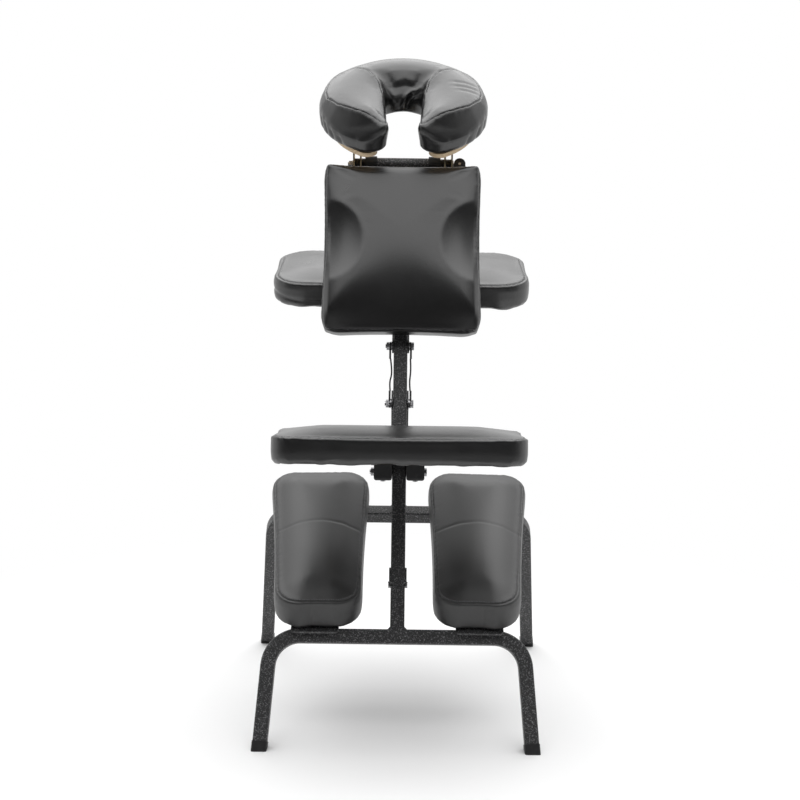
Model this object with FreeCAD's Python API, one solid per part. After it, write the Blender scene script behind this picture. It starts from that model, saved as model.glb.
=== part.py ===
import FreeCAD, Part
import math
import os

from FreeCAD import Placement, Rotation, Vector

# A folding massage chair. The sitter faces +Y, +Z is up and +X is the sitter's right hand.
# Lengths are in millimetres and angles in degrees. Stations along the post are measured from the
# middle of the rear foot's cross bar, and the whole chair is moved onto its origin at the end.

# Square tube frame
TUBE = 25.4
TUBE_WALL = 1.5
TUBE_CORNER = 3.0
BEND_RADIUS = 56.0
FOOT_SPLAY_ANGLE = 4.2
WELD_LEG = 4.5
POST_ANGLE = 23.0
REAR_BAR_HEIGHT = 180.0
REAR_FOOT_WIDTH = 500.0
STUB_LENGTH = 88.0
POST_TOP = 835.0
FRONT_ANGLE = 29.5
FRONT_BAR_DROP = 300.5
FRONT_FOOT_WIDTH = 570.0

# Foot caps
CAP_WALL = 1.0
CAP_FIT = 0.1
CAP_SOLE = 4.0
CAP_HEIGHT = 13.0

# Splice between the stub and the post
SPLICE_GAP = 9.0
SPIGOT_FIT = 0.1
SPIGOT_WALL = 2.0
SPIGOT_PLUG = 32.0
SPLICE_PLATE = 3.0
SPLICE_PLATE_WIDTH = 22.0
SPLICE_PLATE_HEIGHT = 34.0
SPLICE_PLATE_CHAMFER = 3.0
SPLICE_PIN = 6.0
SPLICE_PIN_HEAD = 1.6

# Cross bolts of the front leg's hinge and of the armrest's hinge
HINGE_STATION = 424.0
ARM_BOLT_STATION = 533.0
BOLT = 8.0
BOLT_FIT = 0.05
SIDE_FIT = 0.05
HINGE_PLATE = 3.0
HINGE_EYE = 13.0
WASHER = 1.5
WASHER_RADIUS = 8.5
HEX = 13.0
BOLT_HEAD = 5.3
NUT = 6.5
FOLD_GAP = 0.3
EAR_LENGTH = 70.0

# Cables between the cross bolts
CABLE = 3.0
CABLE_EYE = 2.0
CABLE_EYE_RADIUS = 8.0
FERRULE = 5.4
FERRULE_START = 7.0
FERRULE_END = 24.0
LEFT_CABLE_BOW = ((0.0, 0.0), (-2.0, 0.5), (-2.5, 1.2), (1.7, 0.8), (0.0, 0.0))
RIGHT_CABLE_BOW = ((0.0, 0.0), (0.9, 0.5), (0.2, 1.4), (-1.5, 0.8), (0.0, 0.0))

# Seat
SEAT_ANGLE = 7.0
SEAT_WIDTH = 432.0
SEAT_DEPTH = 243.0
SEAT_HEIGHT = 47.0
SEAT_CROWN = 11.0
SEAT_CORNER = 38.0
SEAT_STATION = 326.0
SEAT_POST_GAP = 3.0
BLOCK_WIDTH = 32.0
BLOCK_DROP = 42.0
BLOCK_REAR = 62.0
BLOCK_FRONT = 34.0
BLOCK_EDGE = 5.0
SEAT_BOLT_STATION = 297.0
SEAT_BOLT_SPACING = 19.0

# Knee rests
KNEE_ANGLE = 24.5
KNEE_CENTRE = 145.0
KNEE_TOE_ANGLE = 1.8
KNEE_NEAR_WIDTH = 152.0
KNEE_FAR_WIDTH = 191.0
KNEE_LENGTH = 388.0
KNEE_START = -8.0
KNEE_HEIGHT = 60.0
KNEE_CROWN = 13.0
KNEE_CORNER = 46.0
KNEE_PLATE = 4.0
KNEE_PLATE_WIDTH = 84.0
KNEE_PLATE_CORNER = 6.0
KNEE_PLATE_OVERHANG = 12.0
KNEE_REST_GAP = 0.5
SADDLE_WIDTH = 34.0
SADDLE_LENGTH = 24.0

# Chest pad
CHEST_WIDTH = 291.0
CHEST_LENGTH = 327.0
CHEST_STATION = 707.0
CHEST_HEIGHT = 44.0
CHEST_CROWN = 20.0
CHEST_CORNER = 14.0
CHEST_DIMPLE = 9.0
CHEST_DIMPLE_RADIUS = 95.0
CHEST_BRACKET = 3.3
CHEST_BRACKET_WIDTH = 72.0
CHEST_BRACKET_LENGTH = 210.0

# Armrest
ARMREST_ANGLE = 12.5
ARMREST_WIDTH = 490.0
ARMREST_DEPTH = 225.0
ARMREST_HEIGHT = 50.0
ARMREST_CROWN = 11.0
ARMREST_CORNER = 62.0
ARMREST_STATION = 619.0
ARMREST_AHEAD = 52.4
ARM_FLANGE = 22.0
ARM_FLANGE_START = 22.0
ARM_FLANGE_END = 152.0

# Pads and boards
BOARD = 12.0
BOARD_INSET = 14.0
BOARD_FIT = 0.2
PAD_ROLL = 13.0
PAD_BOW = 3.0
SCREW = 4.0
SCREW_FIT = 0.05
SCREW_BITE = 9.0
SCREW_HEAD = 2.2
SCREW_HEAD_RADIUS = 4.5

# Head rest stem, cross tube and clamp
STEM = 19.0
STEM_WALL = 1.5
STEM_CORNER = 2.0
STEM_FIT = 0.08
STEM_PLUG = 150.0
BUSH_LENGTH = 60.0
BUSH_FLANGE = 4.0
CROSS_RISE = 55.0
CROSS_TUBE = 25.0
CROSS_WALL = 2.0
CROSS_HALF = 60.0
END_START = 49.0
END_SHOULDER = 71.0
END_OUTER = 31.0
END_NECK = 22.0
ROD = 8.0
ROD_FIT = 0.05
CHEEK_START = 78.0
CHEEK = 3.0
CHEEK_SPACE = 10.0
CHEEK_WIDTH = 28.0
CHEEK_FLANGE = 17.0
CHEEK_FLANGE_LENGTH = 44.0
CLUTCH_GAP = 0.1
CAM_WASHER = 2.0
CAM_WASHER_RADIUS = 10.0
CAM_RADIUS = 11.0
CAM_GAP = 0.4
CAM_WIDTH = 18.0
CAM_SLOT = 8.6
CAM_PIN = 5.0
LEVER_LENGTH = 62.0
LEVER_FLARE = 6.0
LEVER_WIDTH = 14.0
LEVER_ROOT = 13.0
LEVER_TIP = 10.0
LEVER_TIP_SLANT = 4.0
LEVER_EDGE = 2.0

# Clamp knob of the stem
KNOB_BELOW_TOP = 30.0
KNOB_RADIUS = 17.0
KNOB_LENGTH = 24.0
KNOB_STANDOFF = 1.5
KNOB_LOBES = 5
KNOB_FLUTE = 7.0
STUD = 8.0
STUD_FIT = 0.05
STUD_GAP = 0.3
WELD_NUT = 8.0

# Head cushion and platform
HEAD_ANGLE = 28.0
HEAD_BASE = 65.0
HEAD_AHEAD = 65.0
HEAD_HEIGHT = 58.0
HEAD_CROWN = 13.0
PLATFORM = 8.0
PLATFORM_INSET = 0.4
PLATFORM_TONGUE = 24.0
HORSESHOE_HALF_WIDTH = 158.5
HORSESHOE_FAR = 146.0
HORSESHOE_NEAR = 144.0
HORSESHOE_GAP = 60.0
HORSESHOE_HOLE = 72.0
HORSESHOE_ARC = 28.0
HORSESHOE_WAIST = -8.0

FAR = 2000.0
X_AXIS = Vector(1, 0, 0)
Y_AXIS = Vector(0, 1, 0)
Z_AXIS = Vector(0, 0, 1)
ALONG_X = Rotation(Y_AXIS, 90)
ALONG_Y = Rotation(X_AXIS, -90)


def leaning_frame(origin, forward_lean):
    """Frame whose own Z axis leans towards +Y by the angle."""
    return Placement(origin, Rotation(X_AXIS, -forward_lean))


def shifted(frame, x, y, z, turn=Rotation()):
    """Frame moved (and turned) within another frame."""
    return frame.multiply(Placement(Vector(x, y, z), turn))


def at(shape, frame):
    """Copy of a shape placed in a frame."""
    placed = shape.copy()
    placed.Placement = frame.multiply(placed.Placement)
    return placed


def mirrored(shape):
    """Copy of a shape on the other side of the chair."""
    return shape.mirror(Vector(0, 0, 0), X_AXIS)


def fused(shapes):
    """One solid from overlapping shapes."""
    return shapes[0].multiFuse(shapes[1:]).removeSplitter()


POST = leaning_frame(Vector(0, 0, REAR_BAR_HEIGHT), POST_ANGLE)
HINGE = POST.multVec(Vector(0, 0, HINGE_STATION))
LEG = leaning_frame(HINGE, -FRONT_ANGLE)
LEG_OFFSET = TUBE + FOLD_GAP
FRONT_BAR = shifted(LEG, 0, LEG_OFFSET, -FRONT_BAR_DROP)
KNEE = leaning_frame(POST.Base, -KNEE_ANGLE)
CROSS_STATION = POST_TOP + CROSS_RISE
CROSS = shifted(POST, 0, 0, CROSS_STATION)
HEAD = leaning_frame(CROSS.Base, -HEAD_ANGLE)
ARM_BOLT = POST.multVec(Vector(0, 0, ARM_BOLT_STATION))
ARMREST = leaning_frame(POST.multVec(Vector(0, ARMREST_AHEAD, ARMREST_STATION)), -ARMREST_ANGLE)
SEAT_FRONT = leaning_frame(POST.multVec(Vector(0, -TUBE / 2 - SEAT_POST_GAP, SEAT_STATION)), SEAT_ANGLE)
CHEST = shifted(POST, 0, -TUBE / 2 - CHEST_BRACKET, CHEST_STATION, Rotation(X_AXIS, 90))
FLOOR = Part.makeBox(2 * FAR, 2 * FAR, FAR, Vector(-FAR, -FAR, -FAR))
PLATE_INSIDE = TUBE / 2 + SIDE_FIT
PLATE_OUTSIDE = PLATE_INSIDE + HINGE_PLATE


def line(start, end):
    return Part.LineSegment(start, end).toShape()


def arc(start, middle, end):
    return Part.Arc(start, middle, end).toShape()


def outline(near_width, far_width, length, corner, bow=0.0):
    """Closed outline round the origin with round corners; bow draws every side in at its middle."""
    half = length / 2
    slant = corner * (1 - math.sqrt(0.5))

    def edge_x(y):
        return (near_width + (far_width - near_width) * (y + half) / length) / 2

    corners = []
    for side_x, side_y in ((1, 1), (-1, 1), (-1, -1), (1, -1)):
        beside = side_y * (half - corner)
        on_side = Vector(side_x * edge_x(beside), beside, 0)
        on_end = Vector(side_x * (edge_x(side_y * half) - corner), side_y * half, 0)
        middle_y = side_y * (half - slant)
        middle = Vector(side_x * (edge_x(middle_y) - slant), middle_y, 0)
        ends = (on_side, on_end) if side_x == side_y else (on_end, on_side)
        corners.append((ends[0], middle, ends[1]))
    edges = []
    for index, (start, middle, end) in enumerate(corners):
        edges.append(arc(start, middle, end))
        following = corners[(index + 1) % 4][0]
        halfway = (end + following) * 0.5
        drawn_in = halfway * (1 - bow / halfway.Length)
        edges.append(arc(end, drawn_in, following) if bow else line(end, following))
    return Part.Wire(edges)


def prism(wire, low, high):
    """Solid over a flat outline, from one height to another."""
    face = Part.Face(wire)
    face.translate(Vector(0, 0, low))
    return face.extrude(Vector(0, 0, high - low))


def square_bar(side, corner, low, high):
    return prism(outline(side, side, side, corner), low, high)


def square_tube(side, wall, corner, low, high):
    bore = square_bar(side - 2 * wall, max(corner - wall, wall / 4), low, high)
    return square_bar(side, corner, low, high).cut(bore)


def cylinder(radius, low, high, frame=Placement()):
    return at(Part.makeCylinder(radius, high - low, Vector(0, 0, low)), frame)


def hexagon(across_flats, low, high, frame):
    radius = across_flats / math.sqrt(3)
    corners = [Vector(radius, 0, 0)]
    for step in range(1, 6):
        corners.append(Rotation(Z_AXIS, 60 * step).multVec(corners[0]))
    wire = Part.makePolygon(corners + corners[:1])
    return at(prism(wire, low, high), frame)


def side_plate(points, inside, outside):
    """Flat plate square to X: its outline is given as (y, z) points."""
    corners = [Vector(inside, y, z) for y, z in points]
    face = Part.Face(Part.makePolygon(corners + corners[:1]))
    return face.extrude(Vector(outside - inside, 0, 0))


def eye_plate(points, eye, radius, inside, outside):
    """Side plate with a round eye at the (y, z) point where its bolt goes through."""
    disc = cylinder(radius, inside, outside, Placement(Vector(0, *eye), ALONG_X))
    return fused([side_plate(points, inside, outside), disc])


def bent_foot(width, frame, lean, riser):
    """Foot bent from one tube, with a riser welded to its bar. Returns the foot and its two leg frames."""
    drop = frame.Base.z / math.cos(math.radians(lean))
    splay = math.radians(FOOT_SPLAY_ANGLE)
    floor_x = width / 2 - TUBE / 2 / math.cos(splay)
    bar_x = floor_x - drop * math.tan(splay)
    tangent = BEND_RADIUS * math.tan((math.pi / 2 - splay) / 2)
    reach = TUBE
    foot = Vector(floor_x + reach * math.tan(splay), 0, -drop - reach)
    low = Vector(bar_x + tangent * math.sin(splay), 0, -tangent * math.cos(splay))
    high = Vector(bar_x - tangent, 0, 0)
    halfway = (math.pi / 2 + splay) / 2
    bend = Vector(high.x + BEND_RADIUS * math.cos(halfway), 0, BEND_RADIUS * (math.sin(halfway) - 1))

    def left(point):
        return Vector(-point.x, point.y, point.z)

    path = Part.Wire([
        line(left(foot), left(low)), arc(left(low), left(bend), left(high)),
        line(left(high), high), arc(high, bend, low), line(low, foot)])

    def swept(side, corner):
        square = outline(side, side, side, corner)
        section = at(square, Placement(left(foot), Rotation(Y_AXIS, FOOT_SPLAY_ANGLE)))
        return path.makePipeShell([section], True, False)

    bore = TUBE - 2 * TUBE_WALL
    weld = side_plate([(-TUBE / 2 - WELD_LEG, TUBE / 2), (TUBE / 2 + WELD_LEG, TUBE / 2),
                       (TUBE / 2, TUBE / 2 + WELD_LEG), (-TUBE / 2, TUBE / 2 + WELD_LEG)],
                      -TUBE / 2 + TUBE_CORNER, TUBE / 2 - TUBE_CORNER)
    weld = at(weld, Placement(Vector(), Rotation(Z_AXIS, 90)))
    body = fused([swept(TUBE, TUBE_CORNER), square_bar(TUBE, TUBE_CORNER, 0, riser), weld])
    body = body.cut(swept(bore, TUBE_CORNER - TUBE_WALL))
    body = body.cut(square_bar(bore, TUBE_CORNER - TUBE_WALL, TUBE / 2, riser))
    legs = [shifted(frame, side * floor_x, 0, -drop, Rotation(Y_AXIS, -side * FOOT_SPLAY_ANGLE))
            for side in (-1, 1)]
    sole = at(FLOOR, Placement(Vector(0, 0, CAP_SOLE), Rotation()))
    return at(body, frame).cut(sole), legs


def foot_cap(leg):
    """Plastic cap with a flat sole on the floor."""
    inner = TUBE + 2 * CAP_FIT
    outer = inner + 2 * CAP_WALL
    sleeve = at(square_bar(outer, TUBE_CORNER + CAP_WALL, -TUBE, CAP_HEIGHT), leg).cut(FLOOR)
    sole = at(FLOOR, Placement(Vector(0, 0, CAP_SOLE), Rotation()))
    bore = at(square_bar(inner, TUBE_CORNER, -TUBE, CAP_HEIGHT), leg).cut(sole)
    return sleeve.cut(bore)


def cushion_levels(height, crown, roll, span):
    """Heights of a cushion's outlines and how far each lies inside the widest one."""
    return [(0.0, 0.55 * roll), (0.45 * roll, 0.12 * roll), (0.4 * height, 0.0),
            (0.75 * height, 0.02 * roll), (height - 0.3 * roll, 0.3 * roll), (height, roll),
            (height + 0.5 * crown, 0.2 * span), (height + 0.85 * crown, 0.31 * span),
            (height + crown, 0.42 * span)]


def cushion(near_width, far_width, length, corner, height, crown, frame):
    """Board and crowned cushion on it, with the board let into the cushion's underside."""
    span = min(near_width, far_width, length)
    sections = []
    for level, inset in cushion_levels(height, crown, PAD_ROLL, span):
        wire = outline(near_width - 2 * inset, far_width - 2 * inset, length - 2 * inset,
                       max(corner - 0.8 * inset, 0.25 * (span / 2 - inset)), PAD_BOW)
        wire.translate(Vector(0, 0, level))
        sections.append(wire)
    pad = Part.makeLoft(sections, True, True)
    board_corner = corner - BOARD_INSET / 2
    edge = 2 * BOARD_INSET
    rim = outline(near_width - edge, far_width - edge, length - edge, board_corner)
    edge -= 2 * BOARD_FIT
    pocket = outline(near_width - edge, far_width - edge, length - edge, board_corner)
    pad = pad.cut(prism(pocket, 0, BOARD + BOARD_FIT))
    return at(prism(rim, 0, BOARD), frame), at(pad, frame)


def wood_screws(places, frame, grip):
    """Screws that go up through a grip into a board at height 0. Returns the screws and their holes."""
    screws, holes = [], []
    for x, y in places:
        spot = shifted(frame, x, y, 0)
        shank = cylinder(SCREW / 2, -grip, SCREW_BITE, spot)
        head = cylinder(SCREW_HEAD_RADIUS, -grip - SCREW_HEAD, -grip, spot)
        screws.append(fused([shank, head]))
        holes.append(cylinder(SCREW / 2 + SCREW_FIT, -grip, SCREW_BITE, spot))
    return screws, Part.makeCompound(holes)


def cross_bolt(frame, head_at, nut_at):
    """Bolt across the chair, head on the right: the bolt, its nut and the hole it needs."""
    axis = shifted(frame, 0, 0, 0, ALONG_X)
    shank = cylinder(BOLT / 2, -nut_at - NUT - BOLT / 4, head_at, axis)
    bolt = fused([shank, hexagon(HEX, head_at, head_at + BOLT_HEAD, axis)])
    nut = hexagon(HEX, -nut_at - NUT, -nut_at, axis).cut(cylinder(BOLT / 2, -FAR, FAR, axis))
    return bolt, nut, cylinder(BOLT / 2 + BOLT_FIT, -FAR, FAR, axis)


def horseshoe(inset, near=HORSESHOE_NEAR):
    """Outline of the head cushion, open towards the sitter; inset 1 would shrink it to its middle line.
    Each point of the right half goes with its point on the middle line, from the back round to the hole."""
    gap, hole, waist = HORSESHOE_GAP / 2, HORSESHOE_HOLE / 2, HORSESHOE_WAIST
    half, far = HORSESHOE_HALF_WIDTH, HORSESHOE_FAR
    side = Vector((half + hole) / 2, waist, 0)
    back = Vector(0, (far + HORSESHOE_ARC) / 2, 0)
    shoulder = Vector(0.68 * side.x, 0.7 * back.y, 0)
    lobe = Vector(0.95 * side.x, -0.42 * near, 0)
    tip = Vector(0.76 * side.x, -0.58 * near, 0)
    pairs = [
        (Vector(0, far, 0), back), (Vector(0.7 * half, 0.66 * far, 0), shoulder),
        (Vector(half, waist, 0), side),
        (Vector(0.87 * half, -0.62 * near, 0), lobe), (Vector(0.55 * half, -0.945 * near, 0), tip),
        (Vector(0.33 * half, -near, 0), tip), (Vector(gap, -0.85 * near, 0), tip),
        (Vector((gap + hole) / 2, -0.45 * near, 0), lobe), (Vector(hole, waist, 0), side),
        (Vector(0.71 * hole, 0.68 * HORSESHOE_ARC, 0), shoulder), (Vector(0, HORSESHOE_ARC, 0), back)]
    right = [edge + (middle - edge) * inset for edge, middle in pairs]
    left = [Vector(-point.x, point.y, 0) for point in reversed(right)]
    edges = []
    for points in (right, left):
        for start in range(0, len(points) - 1, 2):
            edges.append(arc(*points[start:start + 3]))
    return Part.Wire(edges)


pieces = {}


def rear_frame():
    """Rear foot, its caps, the post and the splice that joins them."""
    foot, legs = bent_foot(REAR_FOOT_WIDTH, POST, POST_ANGLE, STUB_LENGTH)
    post_start = STUB_LENGTH + SPLICE_GAP
    post = at(square_tube(TUBE, TUBE_WALL, TUBE_CORNER, post_start, POST_TOP), POST)
    side = TUBE - 2 * TUBE_WALL - 2 * SPIGOT_FIT
    spigot = at(square_tube(side, SPIGOT_WALL, TUBE_CORNER - TUBE_WALL,
                            STUB_LENGTH - SPIGOT_PLUG, post_start + SPIGOT_PLUG), POST)
    half, top, cut = SPLICE_PLATE_WIDTH / 2, STUB_LENGTH + SPLICE_PLATE_HEIGHT, SPLICE_PLATE_CHAMFER
    plate = side_plate([(-half, STUB_LENGTH), (half, STUB_LENGTH), (half, top - cut), (half - cut, top),
                        (cut - half, top), (-half, top - cut)], TUBE / 2, TUBE / 2 + SPLICE_PLATE)
    axis = shifted(POST, 0, 0, STUB_LENGTH + SPLICE_GAP / 2, ALONG_X)
    plates = [shape.cut(cylinder(SPLICE_PIN / 2, -FAR, FAR, axis))
              for shape in (at(plate, POST), at(mirrored(plate), POST))]
    outside = TUBE / 2 + SPLICE_PLATE
    heads = [cylinder(SPLICE_PIN, side * outside - (SPLICE_PIN_HEAD if side < 0 else 0),
                      side * outside + (SPLICE_PIN_HEAD if side > 0 else 0), axis) for side in (-1, 1)]
    pin = fused([cylinder(SPLICE_PIN / 2, -outside, outside, axis)] + heads)
    pieces["rear_foot"] = [foot]
    pieces["rear_foot_caps"] = [foot_cap(leg) for leg in legs]
    pieces["main_post"] = [post]
    pieces["post_spigot"] = [spigot.cut(cylinder(SPLICE_PIN / 2, -FAR, FAR, axis))]
    pieces["splice_plates"] = plates
    pieces["splice_pin"] = [pin]


def cross_bolts():
    """The hinge bolts of the front leg and of the armrest, with washers, through the post."""
    lug = PLATE_OUTSIDE + SIDE_FIT + WASHER
    stack = lug + CABLE_EYE
    bolts, nuts, washers = [], [], []
    for station in (HINGE_STATION, ARM_BOLT_STATION):
        spot = shifted(POST, 0, 0, station)
        bolt, nut, hole = cross_bolt(spot, stack, stack)
        axis = shifted(spot, 0, 0, 0, ALONG_X)
        washer = cylinder(WASHER_RADIUS, lug - WASHER, lug, axis).cut(hole)
        opposite = cylinder(WASHER_RADIUS, -lug, WASHER - lug, axis).cut(hole)
        bolts.append(bolt)
        nuts.append(nut)
        washers += [washer, opposite]
        pieces["main_post"] = [pieces["main_post"][0].cut(hole)]
    pieces["cross_bolts"] = bolts
    pieces["cross_nuts"] = nuts
    pieces["cross_washers"] = washers


def cable_route(bow):
    """Points of a cable on the right in the post's frame, from the upper ferrule to the lower one."""
    x = PLATE_OUTSIDE + SIDE_FIT + WASHER + CABLE_EYE / 2
    top, bottom = ARM_BOLT_STATION - FERRULE_END, HINGE_STATION + FERRULE_END
    steps = len(bow) - 1
    return [Vector(x + out, ahead, top + (bottom - top) * step / steps)
            for step, (out, ahead) in enumerate(bow)]


def rounded_path(points):
    """Straight runs joined by tangent arcs as large as the runs allow, with the smallest radius."""
    edges, radii = [], []
    start = points[0]
    for before, corner, after in zip(points, points[1:], points[2:]):
        back, ahead = before - corner, after - corner
        trim = 0.45 * min(back.Length, ahead.Length)
        back.normalize()
        ahead.normalize()
        turn = math.pi - back.getAngle(ahead)
        radius = trim / math.tan(turn / 2)
        entry, leave = corner + back * trim, corner + ahead * trim
        inward = back + ahead
        inward.normalize()
        middle = corner + inward * (radius / math.cos(turn / 2) - radius)
        edges += [line(start, entry), arc(entry, middle, leave)]
        radii.append(radius)
        start = leave
    edges.append(line(start, points[-1]))
    return Part.Wire(edges), min(radii)


def cables():
    """Two thin cables beside the post, each with a crimped eye on both cross bolts."""
    for name, bow in (("left_cable", LEFT_CABLE_BOW), ("right_cable", RIGHT_CABLE_BOW)):
        points = cable_route(bow)
        path, radius = rounded_path(points)
        section = Part.Wire(Part.makeCircle(CABLE / 2, points[0], points[1] - points[0]))
        cable = path.makePipeShell([section], True, False)
        print(name, round(path.Length, 1), "mm long, least radius", round(radius, 1),
              "volume ratio", round(cable.Volume / (math.pi * CABLE ** 2 / 4 * path.Length), 4))
        pieces[name] = [at(mirrored(cable) if name == "left_cable" else cable, POST)]
    x = points[0].x
    eyes = []
    for station, towards in ((ARM_BOLT_STATION, -1), (HINGE_STATION, 1)):
        spot = Placement(Vector(0, 0, station), ALONG_X)
        disc = cylinder(CABLE_EYE_RADIUS, x - CABLE_EYE / 2, x + CABLE_EYE / 2, spot)
        low, high = sorted((station + towards * FERRULE_START, station + towards * FERRULE_END))
        ferrule = cylinder(FERRULE / 2, low, high, Placement(Vector(x, 0, 0), Rotation()))
        inside = PLATE_OUTSIDE + SIDE_FIT + WASHER
        keep_off = Part.makeBox(inside, 2 * FAR, 2 * FAR, Vector(0, -FAR, -FAR))
        head = cylinder(HEX / math.sqrt(3), x + CABLE_EYE / 2, FAR, spot)
        hole = cylinder(BOLT / 2 + BOLT_FIT, 0, FAR, spot)
        eyes.append(fused([disc, ferrule]).cut(keep_off).cut(head).cut(hole))
    pieces["cable_eyes"] = [at(shape, POST) for eye in eyes for shape in (eye, mirrored(eye))]


def seat():
    """Seat pad on its board, carried by two blocks that straddle the post."""
    middle = shifted(SEAT_FRONT, 0, -SEAT_DEPTH / 2, 0)
    board, pad = cushion(SEAT_WIDTH, SEAT_WIDTH, SEAT_DEPTH, SEAT_CORNER, SEAT_HEIGHT, SEAT_CROWN, middle)
    block = Part.makeBox(BLOCK_WIDTH, BLOCK_REAR + BLOCK_FRONT, BLOCK_DROP,
                         Vector(PLATE_INSIDE, -BLOCK_REAR, -BLOCK_DROP))
    block = block.makeFillet(BLOCK_EDGE, [edge for edge in block.Edges
                                          if max(v.Z for v in edge.Vertexes) < -BLOCK_EDGE])
    blocks = [at(block, SEAT_FRONT), at(mirrored(block), SEAT_FRONT)]
    outside = PLATE_INSIDE + BLOCK_WIDTH
    bolts, nuts = [], []
    for station in (SEAT_BOLT_STATION, SEAT_BOLT_STATION + SEAT_BOLT_SPACING):
        bolt, nut, hole = cross_bolt(shifted(POST, 0, 0, station), outside, outside)
        blocks = [shape.cut(hole) for shape in blocks]
        pieces["main_post"] = [pieces["main_post"][0].cut(hole)]
        bolts.append(bolt)
        nuts.append(nut)
    x = PLATE_INSIDE + BLOCK_WIDTH / 2
    places = [(side * x, -BLOCK_REAR * share) for side in (-1, 1) for share in (0.45, 0.8)]
    screws, holes = wood_screws(places, SEAT_FRONT, BLOCK_DROP)
    pieces["seat_blocks"] = [shape.cut(holes) for shape in blocks]
    pieces["seat_bolts"] = bolts
    pieces["seat_nuts"] = nuts
    pieces["seat_board"] = [board.cut(holes)]
    pieces["seat_pad"] = [pad]
    pieces["seat_screws"] = screws


def chest_rest():
    """Chest pad on its board, held to the back of the post by a flat bracket."""
    board, pad = cushion(CHEST_WIDTH, CHEST_WIDTH, CHEST_LENGTH, CHEST_CORNER,
                         CHEST_HEIGHT, CHEST_CROWN, CHEST)
    dimple_height = CHEST_HEIGHT + CHEST_CROWN / 2 - CHEST_DIMPLE + CHEST_DIMPLE_RADIUS
    for side in (-1, 1):
        ball = Part.makeSphere(CHEST_DIMPLE_RADIUS, Vector(side * CHEST_WIDTH / 2, 0, dimple_height))
        pad = pad.cut(at(ball, CHEST))
    flat = outline(CHEST_BRACKET_WIDTH, CHEST_BRACKET_WIDTH, CHEST_BRACKET_LENGTH, CHEST_BRACKET * 3)
    places = [(side * (CHEST_BRACKET_WIDTH + TUBE) / 4, end * CHEST_BRACKET_LENGTH * 0.4)
              for side in (-1, 1) for end in (-1, 1)]
    screws, holes = wood_screws(places, CHEST, CHEST_BRACKET)
    pieces["chest_bracket"] = [at(prism(flat, -CHEST_BRACKET, 0), CHEST).cut(holes)]
    pieces["chest_board"] = [board.cut(holes)]
    pieces["chest_pad"] = [pad]
    pieces["chest_screws"] = screws


def front_leg():
    """Front leg with its foot and caps; its cut end stops against the post, two ears hinge it."""
    riser = FRONT_BAR_DROP + TUBE * 2
    foot, legs = bent_foot(FRONT_FOOT_WIDTH, FRONT_BAR, FRONT_ANGLE, riser)
    behind = Part.makeBox(2 * FAR, FAR, 2 * FAR, Vector(-FAR, TUBE / 2 + FOLD_GAP - FAR, -FAR))
    rear, front = LEG_OFFSET - TUBE / 2, LEG_OFFSET + TUBE / 2
    ear = eye_plate([(-HINGE_EYE, 0), (0, -HINGE_EYE), (rear, -EAR_LENGTH), (front, -EAR_LENGTH),
                     (front, 0), (0, HINGE_EYE)], (0, 0), HINGE_EYE, PLATE_INSIDE, PLATE_OUTSIDE)
    hole = cylinder(BOLT / 2 + BOLT_FIT, -FAR, FAR, Placement(Vector(), ALONG_X))
    ear = ear.cut(hole)
    pieces["front_leg"] = [foot.cut(at(behind, POST))]
    pieces["front_foot_caps"] = [foot_cap(leg) for leg in legs]
    pieces["hinge_ears"] = [at(ear, LEG), at(mirrored(ear), LEG)]


def knee_rests():
    """Knee pads on boards and flat plates: saddles on the front bar carry them, the rear bar stops them."""
    turn = math.radians(POST_ANGLE + KNEE_ANGLE)
    rear_top = (TUBE / 2 - TUBE_CORNER) * (math.cos(turn) + math.sin(turn)) + TUBE_CORNER
    base = rear_top + KNEE_REST_GAP
    bar = KNEE.inverse().multVec(FRONT_BAR.Base)
    strip = prism(outline(KNEE_PLATE_WIDTH, KNEE_PLATE_WIDTH, bar.y + 2 * KNEE_PLATE_OVERHANG,
                          KNEE_PLATE_CORNER), 0, KNEE_PLATE)
    bar_solid = at(square_bar(TUBE, TUBE_CORNER, -FAR, FAR), shifted(FRONT_BAR, 0, 0, 0, ALONG_X))
    saddle = Part.makeBox(SADDLE_WIDTH, SADDLE_LENGTH, base - bar.z,
                          Vector(-SADDLE_WIDTH / 2, bar.y - SADDLE_LENGTH / 2, bar.z))
    plates, saddles, screws = [], [], []
    for side, name in ((-1, "left"), (1, "right")):
        beside = shifted(KNEE, side * KNEE_CENTRE, 0, 0)
        top = shifted(beside, 0, KNEE_START + KNEE_LENGTH / 2, base + KNEE_PLATE,
                      Rotation(Z_AXIS, -side * KNEE_TOE_ANGLE))
        board, pad = cushion(KNEE_NEAR_WIDTH, KNEE_FAR_WIDTH, KNEE_LENGTH, KNEE_CORNER,
                             KNEE_HEIGHT, KNEE_CROWN, top)
        places = [(across * KNEE_PLATE_WIDTH * 0.3, end * KNEE_LENGTH * 0.33)
                  for across in (-1, 1) for end in (-1, 1)]
        set_of_screws, holes = wood_screws(places, top, KNEE_PLATE)
        plates.append(at(strip, shifted(beside, 0, bar.y / 2, base)).cut(holes))
        saddles.append(at(saddle, beside).cut(bar_solid))
        screws += set_of_screws
        pieces[name + "_knee_board"] = [board.cut(holes)]
        pieces[name + "_knee_pad"] = [pad]
    pieces["knee_plates"] = plates
    pieces["knee_saddles"] = saddles
    pieces["knee_screws"] = screws


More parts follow.
